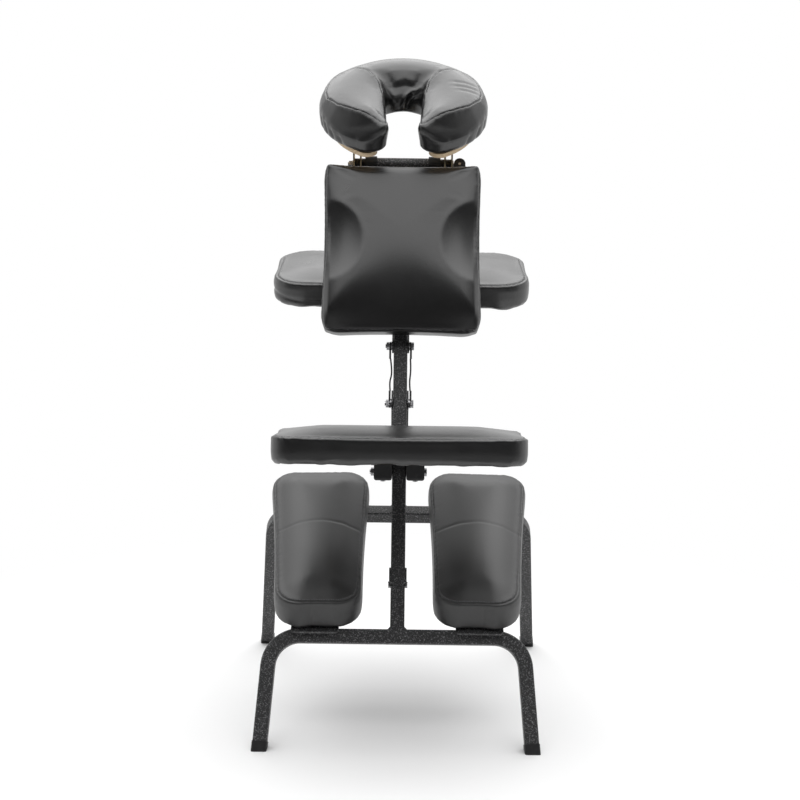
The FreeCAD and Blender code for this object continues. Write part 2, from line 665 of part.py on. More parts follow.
def armrest():
    """Armrest pad on its board and two flanged arms that hinge on the upper cross bolt."""
    middle = shifted(ARMREST, 0, ARMREST_DEPTH / 2, 0)
    board, pad = cushion(ARMREST_WIDTH, ARMREST_WIDTH, ARMREST_DEPTH, ARMREST_CORNER,
                         ARMREST_HEIGHT, ARMREST_CROWN, middle)
    bolt = ARMREST.inverse().multVec(ARM_BOLT)
    above = Vector(0, ARM_FLANGE_START - bolt.y, -bolt.z)
    below = Vector(0, ARM_FLANGE_END - bolt.y, -bolt.z)
    above.normalize()
    below.normalize()
    arm = eye_plate([(ARM_FLANGE_START, 0), (bolt.y - HINGE_EYE * above.z, bolt.z + HINGE_EYE * above.y),
                     (bolt.y + HINGE_EYE * below.z, bolt.z - HINGE_EYE * below.y), (ARM_FLANGE_END, 0)],
                    (bolt.y, bolt.z), HINGE_EYE, PLATE_INSIDE, PLATE_OUTSIDE)
    flange = Part.makeBox(HINGE_PLATE + ARM_FLANGE, ARM_FLANGE_END - ARM_FLANGE_START, HINGE_PLATE,
                          Vector(PLATE_INSIDE, ARM_FLANGE_START, -HINGE_PLATE))
    hole = cylinder(BOLT / 2 + BOLT_FIT, -FAR, FAR, Placement(Vector(0, bolt.y, bolt.z), ALONG_X))
    arm = fused([arm, flange]).cut(hole)
    x = PLATE_OUTSIDE + ARM_FLANGE / 2
    length = ARM_FLANGE_END - ARM_FLANGE_START
    places = [(side * x, ARM_FLANGE_START + share * length) for side in (-1, 1) for share in (0.2, 0.85)]
    screws, holes = wood_screws(places, ARMREST, HINGE_PLATE)
    pieces["armrest_arms"] = [at(shape, ARMREST).cut(holes) for shape in (arm, mirrored(arm))]
    pieces["armrest_board"] = [board.cut(holes)]
    pieces["armrest_pad"] = [pad]
    pieces["armrest_screws"] = screws


def stem():
    """Stem with its cross tube, the guide bush in the post's top and the knob that clamps the stem."""
    corner = STEM_CORNER
    start, flange_top = POST_TOP - STEM_PLUG, POST_TOP + BUSH_FLANGE
    along = shifted(CROSS, 0, 0, 0, ALONG_X)
    body = fused([at(square_bar(STEM, corner, start, CROSS_STATION), POST),
                  cylinder(CROSS_TUBE / 2, -CROSS_HALF, CROSS_HALF, along)])
    bore = square_bar(STEM - 2 * STEM_WALL, corner - STEM_WALL, start, CROSS_STATION - CROSS_TUBE / 2)
    tube_bore = cylinder(CROSS_TUBE / 2 - CROSS_WALL, -CROSS_HALF, CROSS_HALF, along)
    body = body.cut(at(bore, POST)).cut(tube_bore)
    sleeve = TUBE - 2 * TUBE_WALL - 2 * SPIGOT_FIT
    bush = fused([square_bar(sleeve, TUBE_CORNER - TUBE_WALL, POST_TOP - BUSH_LENGTH, flange_top),
                  square_bar(TUBE, TUBE_CORNER, POST_TOP, flange_top)])
    guide = STEM + 2 * STEM_FIT
    bush = bush.cut(square_bar(guide, corner + STEM_FIT, -FAR, FAR))
    axis = shifted(POST, 0, 0, POST_TOP - KNOB_BELOW_TOP, ALONG_Y)
    hole = cylinder(STUD / 2 + STUD_FIT, 0, FAR, axis)
    face = TUBE / 2 + WELD_NUT + KNOB_STANDOFF
    grip = cylinder(KNOB_RADIUS, face, face + KNOB_LENGTH, axis)
    for lobe in range(KNOB_LOBES):
        around = shifted(axis, 0, 0, 0, Rotation(Z_AXIS, 360 / KNOB_LOBES * lobe))
        flute = shifted(around, KNOB_RADIUS + KNOB_FLUTE / 2, 0, 0)
        grip = grip.cut(cylinder(KNOB_FLUTE, -FAR, FAR, flute))
    stud = cylinder(STUD / 2, STEM / 2 + STUD_GAP, face + KNOB_LENGTH / 2, axis)
    pieces["main_post"] = [pieces["main_post"][0].cut(hole)]
    pieces["face_rest_stem"] = [body]
    pieces["stem_bush"] = [at(bush, POST).cut(hole)]
    pieces["knob_nut"] = [hexagon(HEX, TUBE / 2, TUBE / 2 + WELD_NUT, axis).cut(hole)]
    pieces["height_knob"] = [fused([grip, stud])]


def clamp():
    """Plastic tube ends, clamp rod, spacers, washers, nut and cam lever of the head rest's tilt."""
    axis = shifted(CROSS, 0, 0, 0, ALONG_X)
    hole = cylinder(ROD / 2 + ROD_FIT, -FAR, FAR, axis)
    inner_end = CHEEK_START + CHEEK
    outer_start = inner_end + CHEEK_SPACE
    outer_end = outer_start + CHEEK
    end = fused([cylinder(END_OUTER / 2, END_START, END_SHOULDER),
                 cylinder(END_NECK / 2, END_START, CHEEK_START - CLUTCH_GAP)])
    end = end.cut(cylinder(CROSS_TUBE / 2, 0, CROSS_HALF)).cut(cylinder(ROD / 2 + ROD_FIT, 0, FAR))
    spacer = cylinder(END_NECK / 2, inner_end + CLUTCH_GAP, outer_start - CLUTCH_GAP)
    spacer = spacer.cut(cylinder(ROD / 2 + ROD_FIT, 0, FAR))
    across = Rotation(X_AXIS, 180)
    washer_end = outer_end + CLUTCH_GAP + CAM_WASHER
    washer = cylinder(CAM_WASHER_RADIUS, outer_end + CLUTCH_GAP, washer_end, axis).cut(hole)
    thin = cylinder(WASHER_RADIUS, -outer_end - CLUTCH_GAP - WASHER, -outer_end - CLUTCH_GAP, axis).cut(hole)
    nut_face = -outer_end - CLUTCH_GAP - WASHER
    nut = hexagon(HEX, nut_face - NUT, nut_face, axis).cut(cylinder(ROD / 2, -FAR, FAR, axis))
    cam_x = washer_end + CAM_GAP + CAM_RADIUS
    rod = cylinder(ROD / 2, nut_face - NUT - ROD / 4, cam_x + CAM_PIN, axis)
    pin_axis = shifted(CROSS, cam_x, 0, 0, ALONG_Y)
    pin = cylinder(CAM_PIN / 2, -CAM_WIDTH / 2, CAM_WIDTH / 2, pin_axis)
    pieces["cross_tube_ends"] = [at(end, axis), at(end, shifted(axis, 0, 0, 0, across))]
    pieces["clutch_spacers"] = [at(spacer, axis), at(spacer, shifted(axis, 0, 0, 0, across))]
    pieces["rod_washers"] = [washer, thin]
    pieces["clamp_nut"] = [nut]
    pieces["clamp_rod"] = [rod.cut(pin)]
    pieces["cam_pin"] = [pin]
    half, flared = LEVER_WIDTH / 2, CAM_RADIUS + LEVER_FLARE
    root = Vector(CAM_RADIUS - LEVER_ROOT, -half, 0)
    handle = Part.Face(Part.makePolygon([
        root, Vector(CAM_RADIUS, -half, 0), Vector(flared, -half, LEVER_TIP_SLANT - LEVER_LENGTH),
        Vector(flared - LEVER_TIP, -half, -LEVER_LENGTH), root])).extrude(Vector(0, LEVER_WIDTH, 0))
    handle = handle.makeFillet(LEVER_EDGE, [edge for edge in handle.Edges
                                            if min(v.Z for v in edge.Vertexes) < -LEVER_LENGTH / 2])
    boss = cylinder(CAM_RADIUS, -CAM_WIDTH / 2, CAM_WIDTH / 2, Placement(Vector(), ALONG_Y))
    slot = Part.makeBox(4 * CAM_RADIUS, CAM_SLOT, 3 * CAM_RADIUS,
                        Vector(-2 * CAM_RADIUS, -CAM_SLOT / 2, -CAM_RADIUS))
    bore = cylinder(CAM_PIN / 2 + ROD_FIT, -FAR, FAR, Placement(Vector(), ALONG_Y))
    lever = fused([handle, boss]).cut(slot).cut(bore)
    pieces["cam_lever"] = [at(lever, shifted(CROSS, cam_x, 0, 0))]
    return cam_x


def face_rest():
    """Horseshoe cushion on a plywood platform, with two pairs of cheek plates on the clamp rod."""
    cheeks, places = [], []
    top = HEAD_BASE - PLATFORM
    half = CHEEK_WIDTH / 2
    for inside, flange_from in ((CHEEK_START, CHEEK_START - CHEEK_FLANGE + CHEEK),
                                (CHEEK_START + CHEEK + CHEEK_SPACE, CHEEK_START + CHEEK + CHEEK_SPACE)):
        plate = eye_plate([(-half, 0), (half, 0), (half, top), (-half, top)], (0, 0), half,
                          inside, inside + CHEEK)
        flange = Part.makeBox(CHEEK_FLANGE, CHEEK_FLANGE_LENGTH, CHEEK,
                              Vector(flange_from, -CHEEK_FLANGE_LENGTH / 2, top - CHEEK))
        hole = cylinder(ROD / 2 + ROD_FIT, -FAR, FAR, Placement(Vector(), ALONG_X))
        cheek = fused([plate, flange]).cut(hole)
        cheeks += [cheek, mirrored(cheek)]
        screw_x = flange_from + CHEEK_FLANGE / 2 + (CHEEK / 2 if inside == flange_from else -CHEEK / 2)
        screw_y = CHEEK_FLANGE_LENGTH * 0.38
        places += [(side * screw_x, end * screw_y) for side in (-1, 1) for end in (-1, 1)]
    under = shifted(HEAD, 0, 0, top)
    screws, holes = wood_screws(places, under, CHEEK)
    platform_frame = shifted(HEAD, 0, HEAD_AHEAD, top)
    board = horseshoe(PLATFORM_INSET, HORSESHOE_NEAR + PLATFORM_TONGUE)
    platform = at(prism(board, 0, PLATFORM), platform_frame)
    sections = []
    arm = HORSESHOE_HALF_WIDTH - HORSESHOE_HOLE / 2
    for level, inset in cushion_levels(HEAD_HEIGHT, HEAD_CROWN, PAD_ROLL, arm):
        wire = horseshoe(2 * inset / arm)
        wire.translate(Vector(0, 0, level))
        sections.append(wire)
    cushion_frame = shifted(HEAD, 0, HEAD_AHEAD, HEAD_BASE)
    pieces["cheek_plates"] = [at(cheek, HEAD).cut(holes) for cheek in cheeks]
    pieces["cheek_screws"] = screws
    pieces["head_platform"] = [platform.cut(holes)]
    pieces["head_cushion"] = [at(Part.makeLoft(sections, True, True), cushion_frame).cut(holes)]


def write_parts(cam_x):
    """Moves the chair so that its box stands on the origin, and writes one file per node."""
    everything = Part.makeCompound([solid for solids in pieces.values() for solid in solids])
    box = everything.optimalBoundingBox(False)
    move = Vector(0, -(box.YMin + box.YMax) / 2, -box.ZMin)
    os.makedirs("parts", exist_ok=True)
    for name, solids in pieces.items():
        for solid in solids:
            if not solid.isValid() or len(solid.Solids) != 1:
                print("check", name, solid.isValid(), len(solid.Solids))
        moved = [at(solid, Placement(move, Rotation())) for solid in solids]
        shape = moved[0] if len(moved) == 1 else Part.makeCompound(moved)
        shape.exportStep("parts/" + name + ".step")
    print("box", round(box.XLength, 1), round(box.YLength, 1), round(box.ZLength, 1), "moved", move)
    anchors = {"front_leg_fold": HINGE, "armrest_fold": ARM_BOLT, "face_rest_tilt": CROSS.Base,
               "height_knob_turn": POST.multVec(Vector(0, 0, POST_TOP - KNOB_BELOW_TOP)),
               "cam_lever_swing": CROSS.multVec(Vector(cam_x, 0, 0))}
    for name, point in anchors.items():
        print(name, [round(value / 1000, 6) for value in point + move])


rear_frame()
cross_bolts()
cables()
seat()
chest_rest()
front_leg()
knee_rests()
armrest()
stem()
cam_position = clamp()
face_rest()
write_parts(cam_position)
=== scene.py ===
import math

import bpy
from mathutils import Matrix, Vector, kdtree, noise
from mathutils.bvhtree import BVHTree


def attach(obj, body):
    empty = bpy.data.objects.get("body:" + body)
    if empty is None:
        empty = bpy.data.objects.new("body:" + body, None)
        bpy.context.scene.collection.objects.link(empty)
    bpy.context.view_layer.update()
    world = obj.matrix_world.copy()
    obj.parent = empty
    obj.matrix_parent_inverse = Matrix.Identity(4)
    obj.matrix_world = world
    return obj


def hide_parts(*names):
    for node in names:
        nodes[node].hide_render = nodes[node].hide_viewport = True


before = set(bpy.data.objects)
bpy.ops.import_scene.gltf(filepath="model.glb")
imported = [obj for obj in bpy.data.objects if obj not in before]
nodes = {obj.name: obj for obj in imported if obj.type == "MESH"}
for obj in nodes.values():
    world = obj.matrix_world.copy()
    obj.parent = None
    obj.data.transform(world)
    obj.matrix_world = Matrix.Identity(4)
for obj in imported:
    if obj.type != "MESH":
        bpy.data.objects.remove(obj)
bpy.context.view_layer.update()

# Camera. A long lens looks from behind the sitter along the chair, a little down from about the height of
# the head rest. The picture leans by under a degree, so that the right feet stand lower than the left ones.
PHOTO_PIXELS = 800
FOCAL_PIXELS = 1600
SENSOR = 36.0
CAMERA_PLACE = (0.0, -2.924, 1.06)
CAMERA_PITCH = 9.5
CAMERA_ROLL = 0.7

camera = bpy.data.objects.new("camera", bpy.data.cameras.new("camera"))
bpy.context.scene.collection.objects.link(camera)
camera.data.sensor_width = SENSOR
camera.data.lens = SENSOR * FOCAL_PIXELS / PHOTO_PIXELS
camera.matrix_world = (Matrix.Translation(CAMERA_PLACE)
                       @ Matrix.Rotation(math.radians(90 - CAMERA_PITCH), 4, "X")
                       @ Matrix.Rotation(math.radians(CAMERA_ROLL), 4, "Z"))
bpy.context.scene.camera = camera
bpy.context.scene.view_settings.view_transform = "Standard"


# Floor and light. The chair stands on a pale paper sweep that runs out into white behind it, under one wide
# soft lamp; towards the camera the paper's colour is darkened as painted shade, in place of the lamp's light
# falling off there. The room is white behind and dark where the camera stands.
class Wire:
    """An output socket of a node tree. Arithmetic on wires adds Math nodes."""

    def __init__(self, tree, socket=None):
        self.tree = tree
        self.socket = socket

    def node(self, kind, inputs=None, output=0, **settings):
        """Adds a node. Its settings are set first, then its sockets get a wire or a plain value each."""
        made = self.tree.nodes.new("ShaderNode" + kind)
        for name, value in settings.items():
            setattr(made, name, value)
        for socket, value in (inputs or {}).items():
            self.feed(made.inputs[socket], value)
        return Wire(self.tree, made.outputs[output])

    def feed(self, socket, value):
        if isinstance(value, Wire):
            self.tree.links.new(value.socket, socket)
        else:
            socket.default_value = value

    def maths(self, operation, first, second=0.0):
        return self.node("Math", {0: first, 1: second}, operation=operation)

    def mixed(self, first, second):
        """Blend of two colours by this wire: the first at 0, the second at 1."""
        return self.node("Mix", {0: self, 6: first, 7: second}, 2, data_type="RGBA")

    def between(self, low, high):
        """This wire spread so that low gives 0 and high gives 1, and held there outside."""
        return self.node("MapRange", {"Value": self, "From Min": low, "From Max": high},
                         interpolation_type="SMOOTHSTEP")

    def part(self, axis):
        """One component of a vector wire."""
        return self.node("SeparateXYZ", {0: self}, axis)

    def __add__(self, other):
        return self.maths("ADD", self, other)

    def __radd__(self, other):
        return self.maths("ADD", other, self)

    def __sub__(self, other):
        return self.maths("SUBTRACT", self, other)

    def __rsub__(self, other):
        return self.maths("SUBTRACT", other, self)

    def __mul__(self, other):
        return self.maths("MULTIPLY", self, other)

    def __rmul__(self, other):
        return self.maths("MULTIPLY", other, self)

    def __abs__(self):
        return self.maths("ABSOLUTE", self)


FLOOR_SIZE = 30.0
WHITE = (1.0, 1.0, 1.0, 1.0)
PAPER = (0.92, 0.92, 0.92, 1.0)
# Painted shade: the paper's colour towards the camera, darker than the paper itself to stand in for less
# light there.
PAPER_PAINTED_SHADE = (0.45, 0.45, 0.45, 1.0)
PAPER_ROUGHNESS = 0.9
PAPER_SPECULAR = 0.1
PAINTED_SHADE_TURNS = (-1.6, -0.6)
WHITE_STARTS = (0.5, 1.25)
WHITE_BEHIND = (-0.8, -0.4)
ROOM_FRONT = 0.07
ROOM_BACK = 1.0
ROOM_ABOVE = 0.3
BACK_BEGINS = (-0.75, 0.2)
ABOVE_BEGINS = (0.35, 0.95)
LAMP_WIDTH = 3.4
LAMP_LENGTH = 5.85
LAMP_PLACE = (0.0, 0.625, 2.75)
LAMP_POWER = 103.0

bpy.ops.object.select_all(action="DESELECT")
bpy.ops.mesh.primitive_plane_add(size=FLOOR_SIZE)
floor = bpy.context.object
floor.name = "floor"
floor_paint = bpy.data.materials.new("floor_paint")
floor_paint.use_nodes = True
floor_tree = floor_paint.node_tree
floor_shader = floor_tree.nodes["Principled BSDF"]
floor_shader.inputs["Roughness"].default_value = PAPER_ROUGHNESS
floor_shader.inputs["Specular IOR Level"].default_value = PAPER_SPECULAR
on_floor = Wire(floor_tree).node("TexCoord", output=3)
depth = on_floor.part(1)
# Painted shade: the floor's colour darkens towards the camera in place of the light falling off there.
on_floor.feed(floor_shader.inputs["Base Color"], depth.between(*PAINTED_SHADE_TURNS).mixed(PAPER_PAINTED_SHADE, PAPER))
from_chair = on_floor.node("VectorMath", {0: on_floor}, 1, operation="LENGTH")
ray = on_floor.node("LightPath").socket.node.outputs
seen = Wire(floor_tree, ray["Is Camera Ray"]) + Wire(floor_tree, ray["Is Glossy Ray"])
seen = seen + Wire(floor_tree, ray["Is Transmission Ray"])
white = on_floor.node("Emission", {"Color": WHITE, "Strength": 1.0})
lit = Wire(floor_tree, floor_shader.outputs[0])
far = from_chair.between(*WHITE_STARTS) * depth.between(*WHITE_BEHIND)
faded = on_floor.node("MixShader", {0: seen * far, 1: lit, 2: white})
on_floor.feed(floor_tree.nodes["Material Output"].inputs["Surface"], faded)
floor.data.materials.append(floor_paint)

world = bpy.data.worlds.new("studio")
bpy.context.scene.world = world
world.use_nodes = True
direction = Wire(world.node_tree).node("TexCoord", output=0)
behind = direction.part(1).between(*BACK_BEGINS)
overhead = direction.part(2).between(*ABOVE_BEGINS)
level = ROOM_FRONT + behind * (ROOM_BACK - ROOM_FRONT)
level = level.maths("MAXIMUM", level, overhead * ROOM_ABOVE)
background = world.node_tree.nodes["Background"]
background.inputs["Color"].default_value = WHITE
direction.feed(background.inputs["Strength"], level)

lamp = bpy.data.objects.new("ceiling_lamp", bpy.data.lights.new("ceiling_lamp", "AREA"))
bpy.context.scene.collection.objects.link(lamp)
lamp.data.shape = "RECTANGLE"
lamp.data.size = LAMP_WIDTH
lamp.data.size_y = LAMP_LENGTH
lamp.data.energy = LAMP_POWER
lamp.location = LAMP_PLACE
lamp.visible_camera = False

# Tube frame: rear foot, post, front leg and the plates welded or bolted to them. Steel tube and sheet with a
# baked hammered paint: dark grey with pale flecks, dimpled, and with a roughness that varies from dimple to
# dimple.
COAT_DARK = (0.026, 0.026, 0.027, 1.0)
COAT_PALE = (0.26, 0.26, 0.265, 1.0)


def finish(name, constants):
    """New material. Returns it with a wire of its Object coordinates and its shader's sockets."""
    material = bpy.data.materials.new(name)
    material.use_nodes = True
    sockets = material.node_tree.nodes["Principled BSDF"].inputs
    for socket, value in constants.items():
        sockets[socket].default_value = value
    return material, Wire(material.node_tree).node("TexCoord", output=3), sockets


def dress(material, *names):
    """Gives nodes of the frame their finish."""
    for name in names:
        for slot in nodes[name].material_slots:
            slot.material = material


coat, place, sockets = finish("hammered_coat", {"Specular IOR Level": 0.5})
cells = place.node("TexVoronoi", {"Vector": place, "Scale": 360.0, "Randomness": 1.0})
flecks = place.node("TexNoise", {"Vector": place, "Scale": 420.0, "Detail": 2.0, "Roughness": 0.6})
patches = place.node("TexNoise", {"Vector": place, "Scale": 18.0, "Detail": 1.0})
pale = flecks.between(0.5, 0.72) * (0.45 + patches * 0.6)
place.feed(sockets["Base Color"], pale.mixed(COAT_DARK, COAT_PALE))
place.feed(sockets["Roughness"], 0.34 + cells * 0.25)
dimples = place.node("Bump", {"Height": cells + flecks * 0.3, "Strength": 0.5, "Distance": 0.0006})
place.feed(sockets["Normal"], dimples)
dress(coat, "main_post", "rear_foot", "front_leg", "splice_plates", "hinge_ears", "knee_plates",
      "knee_saddles", "armrest_arms", "chest_bracket", "face_rest_stem", "knob_nut", "post_spigot")

# Plastic parts: foot caps, seat blocks, the ends of the cross tube, the bush, knob and cam lever. Moulded in
# black, with a fine spark-eroded grain that is a little shinier where hands and floor have rubbed it.
PLASTIC_BLACK = (0.012, 0.012, 0.013, 1.0)
PLASTIC_WORN = (0.028, 0.028, 0.029, 1.0)

moulded, place, sockets = finish("moulded_plastic", {"Specular IOR Level": 0.45})
grain = place.node("TexNoise", {"Vector": place, "Scale": 1600.0, "Detail": 1.0})
rubbed = place.node("TexNoise", {"Vector": place, "Scale": 45.0, "Detail": 3.0}).between(0.5, 0.75)
place.feed(sockets["Base Color"], rubbed.mixed(PLASTIC_BLACK, PLASTIC_WORN))
place.feed(sockets["Roughness"], 0.55 - rubbed * 0.15)
place.feed(sockets["Normal"], place.node("Bump", {"Height": grain, "Strength": 0.3, "Distance": 0.0002}))
dress(moulded, "rear_foot_caps", "front_foot_caps", "seat_blocks", "stem_bush", "cross_tube_ends",
      "clutch_spacers", "cam_lever", "height_knob")

# Bolts, nuts, washers, screws and pins: turned and pressed steel with a bright zinc plating, which shows fine
# turning marks and a few dull spots.
STEEL = (0.62, 0.62, 0.64, 1.0)
STEEL_DULL = (0.42, 0.42, 0.43, 1.0)

plated, place, sockets = finish("plated_steel", {"Metallic": 1.0})
dull = place.node("TexNoise", {"Vector": place, "Scale": 260.0, "Detail": 3.0}).between(0.4, 0.75)
marks = place.node("TexNoise", {"Vector": place, "Scale": 2400.0, "Detail": 1.0})
place.feed(sockets["Base Color"], dull.mixed(STEEL, STEEL_DULL))
place.feed(sockets["Roughness"], 0.24 + dull * 0.2)
place.feed(sockets["Normal"], place.node("Bump", {"Height": marks, "Strength": 0.15, "Distance": 0.0001}))
dress(plated, "cross_bolts", "cross_nuts", "cross_washers", "seat_bolts", "seat_nuts", "splice_pin",
      "seat_screws", "chest_screws", "knee_screws", "armrest_screws", "cheek_screws", "clamp_rod",
      "clamp_nut", "rod_washers", "cam_pin")

# Cheek plates of the head rest: sheet steel, each bent to a flange that is screwed to the platform. Their
# yellow zinc coat shimmers from straw to pale brass.
STRAW = (0.86, 0.76, 0.55, 1.0)
PALE_BRASS = (0.72, 0.55, 0.33, 1.0)

yellow_zinc, place, sockets = finish("yellow_zinc", {"Metallic": 0.85})
shimmer = place.node("TexNoise", {"Vector": place, "Scale": 70.0, "Detail": 3.0}).between(0.35, 0.7)
place.feed(sockets["Base Color"], shimmer.mixed(STRAW, PALE_BRASS))
place.feed(sockets["Roughness"], 0.3 + shimmer * 0.18)
dress(yellow_zinc, "cheek_plates")

# Cables between the two cross bolts: thin steel strands in a black plastic coat, crimped into an eye at each
# end. The left one lies close to the post and kinks outwards low down, the right one bows out high up.
CABLE = 0.003
CABLE_BLACK = (0.012, 0.012, 0.012, 1.0)
CABLE_SCUFFED = (0.05, 0.05, 0.05, 1.0)
LEFT_ROUTE = [(-0.0183, 0.509), (-0.0163, 0.49375), (-0.0158, 0.4785), (-0.02, 0.46325), (-0.0183, 0.448)]
RIGHT_ROUTE = [(0.0183, 0.509), (0.0192, 0.49375), (0.0185, 0.4785), (0.0168, 0.46325), (0.0183, 0.448)]
AHEAD_OF_POST = (0.0, 0.0005, 0.0013, 0.0008, 0.0)
POST_ANGLE = math.radians(23.0)
REAR_BAR = Vector((0.0, -0.203855, 0.18))

cable_coat, place, sockets = finish("cable_coat", {"Specular IOR Level": 0.5})
scuffs = place.node("TexNoise", {"Vector": place, "Scale": 900.0, "Detail": 2.0}).between(0.45, 0.75)
lay = place.node("TexWave", {"Vector": place, "Scale": 220.0, "Distortion": 1.0}, 1)
place.feed(sockets["Base Color"], scuffs.mixed(CABLE_BLACK, CABLE_SCUFFED))
place.feed(sockets["Roughness"], 0.4 + scuffs * 0.2)
place.feed(sockets["Normal"], place.node("Bump", {"Height": lay, "Strength": 0.35, "Distance": 0.0003}))
dress(cable_coat, "cable_eyes")


def on_post(x, ahead, station):
    """Point beside the post, from its place along the post and in front of it."""
    return REAR_BAR + Vector((x, station * math.sin(POST_ANGLE) + ahead * math.cos(POST_ANGLE),
                              station * math.cos(POST_ANGLE) - ahead * math.sin(POST_ANGLE)))


for node, route in (("left_cable", LEFT_ROUTE), ("right_cable", RIGHT_ROUTE)):
    points = [on_post(x, ahead, station) for (x, station), ahead in zip(route, AHEAD_OF_POST)]
    line = bpy.data.curves.new(node + "_line", "CURVE")
    line.dimensions = "3D"
    line.bevel_depth = CABLE / 2
    line.bevel_resolution = 4
    line.resolution_u = 8
    line.use_fill_caps = True
    spline = line.splines.new("NURBS")
    spline.points.add(len(points) - 1)
    for point, spot in zip(spline.points, points):
        point.co = (*spot, 1.0)
    spline.order_u = 3
    spline.use_endpoint_u = True
    line.materials.append(cable_coat)
    cable = bpy.data.objects.new(node + "_strands", line)
    bpy.context.scene.collection.objects.link(cable)
    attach(cable, "frame")
    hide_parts(node)

# Boards: each pad is stapled round a plywood board, and the head cushion lies on a plywood platform. Plies
# show as thin darker lines on the sawn edges. The platform is clear birch, and the pads' boards are stained
# black.
BIRCH = ((0.84, 0.68, 0.47, 1.0), (0.72, 0.53, 0.33, 1.0), (0.36, 0.23, 0.12, 1.0))
STAINED = ((0.030, 0.026, 0.022, 1.0), (0.018, 0.016, 0.014, 1.0), (0.010, 0.009, 0.008, 1.0))
PLY_STEP = 0.0016
GLUE_LINE = (0.3, 0.42)
SEAT_ANGLE = -7.0
KNEE_ANGLE = 24.5
CHEST_ANGLE = 67.0
ARMREST_ANGLE = 12.5
HEAD_ANGLE = 28.0


def plywood(name, tilt, colours):
    """Plywood whose plies lie along a board that is tilted about X; colours are for face, grain and glue."""
    material, place, sockets = finish(name, {"Specular IOR Level": 0.35})
    turned = place.node("Mapping", {"Vector": place, "Rotation": (-math.radians(tilt), 0.0, 0.0)})
    streaks = turned.node("Mapping", {"Vector": turned, "Scale": (14.0, 260.0, 260.0)})
    grain = streaks.node("TexNoise", {"Vector": streaks, "Scale": 1.0, "Detail": 4.0, "Roughness": 0.6})
    ply = turned.maths("FRACT", turned.part(2) * (1 / PLY_STEP))
    glue = 1 - abs(ply - 0.5).between(*GLUE_LINE)
    wood = grain.between(0.35, 0.7).mixed(colours[0], colours[1])
    place.feed(sockets["Base Color"], ((1 - glue) * 0.55).mixed(wood, colours[2]))
    place.feed(sockets["Roughness"], 0.5 + grain * 0.2)
    place.feed(sockets["Normal"], place.node("Bump", {"Height": grain, "Strength": 0.25, "Distance": 0.0003}))
    return material


dress(plywood("seat_plywood", SEAT_ANGLE, STAINED), "seat_board")
dress(plywood("knee_plywood", KNEE_ANGLE, STAINED), "left_knee_board", "right_knee_board")
dress(plywood("chest_plywood", CHEST_ANGLE, STAINED), "chest_board")
dress(plywood("armrest_plywood", ARMREST_ANGLE, STAINED), "armrest_board")
dress(plywood("head_plywood", HEAD_ANGLE, BIRCH), "head_platform")

# Seat pad: foam on the seat board under black coated fabric. A top panel and a wall meet in a stitched seam
# round the edge, and the wall is pulled under the board and stapled, so its lower edge runs a little wavy.
SEAT_CORNER = 0.038
SEAT_SEAM = 0.047  # height of the seam above the underside
SEAT_SEAM_INSET = 0.003
SEAT_CRISP = 0.8
SEAT_SWELL = 0.006  # most that a point of the cover moves out
LEATHER = (0.0045, 0.0045, 0.0047, 1.0)
LEATHER_RUBBED = (0.009, 0.009, 0.0095, 1.0)
LEATHER_ROUGHNESS = 0.22
THREAD = (0.05, 0.05, 0.053, 1.0)
STITCH = 0.0042
STITCH_BESIDE = 0.0034  # from the seam to the row of stitches
THREAD_EDGE = (0.0004, 0.0011)
RUBBED_EDGE = (0.001, 0.012)
VOXEL = 0.005
WELD = 0.00002
ARC_STEP = 15
LEAST_CORNER = 0.004
EDGE_ROLL = 0.013  # radius of the foam's upper edge
BOARD_HELD = 0.014  # height up to which the board holds the cover
PRESSURE = 4.0
SWELL_FRAMES = 20
SEAM_STEP = 0.002
SEAM_REACH = 0.03
SEAM_GROOVE = 0.0022
SEAM_SINK = 0.0016
SEAM_ROLL = 0.009
SEAM_RIDGE = 0.0012
WALL_BELOW = Vector((0.0, 0.0, 0.7))  # a seam's wall side lies out and down from it
PUCKER = 0.0007
PUCKER_REACH = 0.007
PUCKER_RATE = 130  # per metre
STAPLED = 0.016  # height of the stapled edge
STAPLE_WAVE = 0.0035
STAPLE_RATE = 42  # per metre


def coated_fabric(name, roughness):
    """Black leather-like cover. The mesh's attributes seam and along are the distance across its nearest seam
    and the way along that seam."""
    material, place, sockets = finish(name, {"Specular IOR Level": 0.9, "IOR": 1.5})
    seam = place.node("Attribute", output=2, attribute_name="seam")
    along = place.node("Attribute", output=2, attribute_name="along")
    pores = place.node("TexVoronoi", {"Vector": place, "Scale": 850.0}, feature="SMOOTH_F1")
    hide = place.node("TexNoise", {"Vector": place, "Scale": 9.0, "Detail": 4.0, "Roughness": 0.55})
    fine = place.node("TexNoise", {"Vector": place, "Scale": 240.0, "Detail": 3.0})
    groove = abs(seam).between(0.0, SEAM_GROOVE)
    beat = along.maths("FRACT", along * (1 / STITCH))
    row = 1 - abs(seam + STITCH_BESIDE).between(*THREAD_EDGE)
    thread = row * (1 - abs(beat - 0.5).between(0.3, 0.4))
    worn = hide.between(0.35, 0.75) * 0.7 + (1 - abs(seam).between(*RUBBED_EDGE)) * 0.3
    colour = worn.mixed(LEATHER, LEATHER_RUBBED)
    place.feed(sockets["Base Color"], thread.mixed(colour, THREAD))
    place.feed(sockets["Roughness"], roughness + hide * 0.12 + fine * 0.06 + thread * 0.2)
    height = pores * 0.12 + fine * 0.10 + groove * 0.9 + thread * 0.5
    place.feed(sockets["Normal"], place.node("Bump", {"Height": height, "Strength": 0.55, "Distance": 0.001}))
    return material


black_leather = coated_fabric("black_leather", LEATHER_ROUGHNESS)


